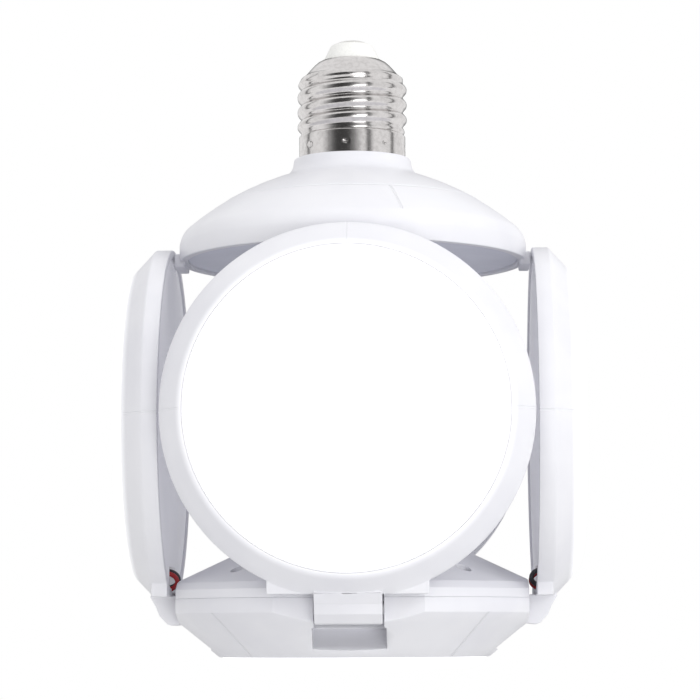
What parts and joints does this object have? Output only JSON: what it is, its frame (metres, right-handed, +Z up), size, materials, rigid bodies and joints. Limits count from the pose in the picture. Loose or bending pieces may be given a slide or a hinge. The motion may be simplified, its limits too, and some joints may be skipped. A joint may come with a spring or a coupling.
{
  "type": "deformable garage light",
  "caption": "Screw-cap LED lamp with a domed driver housing, a downward lamp disc and hinged side discs that fold out from a closed ball shape.",
  "frame": {"origin": "on the lamp's axis, where the screw cap's metal shell seats on the housing's plastic collar", "axes": "+Z up the axis towards the cap's centre contact, -Y towards the front disc, +X towards the right disc"},
  "size_m": [0.1082, 0.1082, 0.15],
  "materials": {
    "housing_white": "satin moulded polymer",
    "plate_grey": "satin moulded polymer in the housing's shade",
    "milky_lens": "translucent diffuser, lit from inside",
    "cap_metal": "bright nickel plate",
    "cap_insulator": "moulded insulator",
    "contact_metal": "tinned brass",
    "screw_steel": "zinc-plated steel",
    "pin_steel": "ground steel",
    "board_aluminium": "aluminium board with white solder mask",
    "chip_yellow": "phosphor under clear resin",
    "driver_laminate": "green laminate",
    "component_black": "moulded black case",
    "capacitor_sleeve": "shrunk sleeve",
    "lead_insulation": "red and black lead insulation"
  },
  "bodies": {
    "lamp": {"cap_shell": "cap_metal", "cap_insulator": "cap_insulator", "cap_contact": "contact_metal", "top_housing": "housing_white", "underside_plate": "plate_grey", "driver_board": "driver_laminate", "driver_capacitor": "capacitor_sleeve", "driver_transformer": "component_black", "driver_rectifier": "component_black", "driver_choke": "component_black", "cap_leads": "lead_insulation", "centre_post": "housing_white", "post_screws": "screw_steel", "base_bezel": "housing_white", "base_cover": "housing_white", "base_screws": "screw_steel", "base_lens": "milky_lens", "base_led_board": "board_aluminium", "base_leds": "chip_yellow", "supply_leads": "lead_insulation", "right_hinge_pin": "pin_steel", "back_hinge_pin": "pin_steel", "left_hinge_pin": "pin_steel", "front_hinge_pin": "pin_steel"},
    "right_disc": {"right_bezel": "housing_white", "right_back_cover": "housing_white", "right_led_board": "board_aluminium", "right_leds": "chip_yellow", "right_lens": "milky_lens", "right_leads": "lead_insulation"},
    "back_disc": {"back_bezel": "housing_white", "back_back_cover": "housing_white", "back_led_board": "board_aluminium", "back_leds": "chip_yellow", "back_lens": "milky_lens", "back_leads": "lead_insulation"},
    "left_disc": {"left_bezel": "housing_white", "left_back_cover": "housing_white", "left_led_board": "board_aluminium", "left_leds": "chip_yellow", "left_lens": "milky_lens", "left_leads": "lead_insulation"},
    "front_disc": {"front_bezel": "housing_white", "front_back_cover": "housing_white", "front_led_board": "board_aluminium", "front_leds": "chip_yellow", "front_lens": "milky_lens", "front_leads": "lead_insulation"}
  },
  "joints": [
    {"name": "right_disc_hinge", "type": "hinge", "parent": "lamp", "child": "right_disc", "pos_m": [0.0381, 0, -0.1071], "axis": [0, 1, 0], "range_deg": [0, 90]},
    {"name": "back_disc_hinge", "type": "hinge", "parent": "lamp", "child": "back_disc", "pos_m": [0, 0.0381, -0.1071], "axis": [-1, 0, 0], "range_deg": [0, 90]},
    {"name": "left_disc_hinge", "type": "hinge", "parent": "lamp", "child": "left_disc", "pos_m": [-0.0381, 0, -0.1071], "axis": [0, -1, 0], "range_deg": [0, 90]},
    {"name": "front_disc_hinge", "type": "hinge", "parent": "lamp", "child": "front_disc", "pos_m": [0, -0.0381, -0.1071], "axis": [1, 0, 0], "range_deg": [0, 90]}
  ]
}
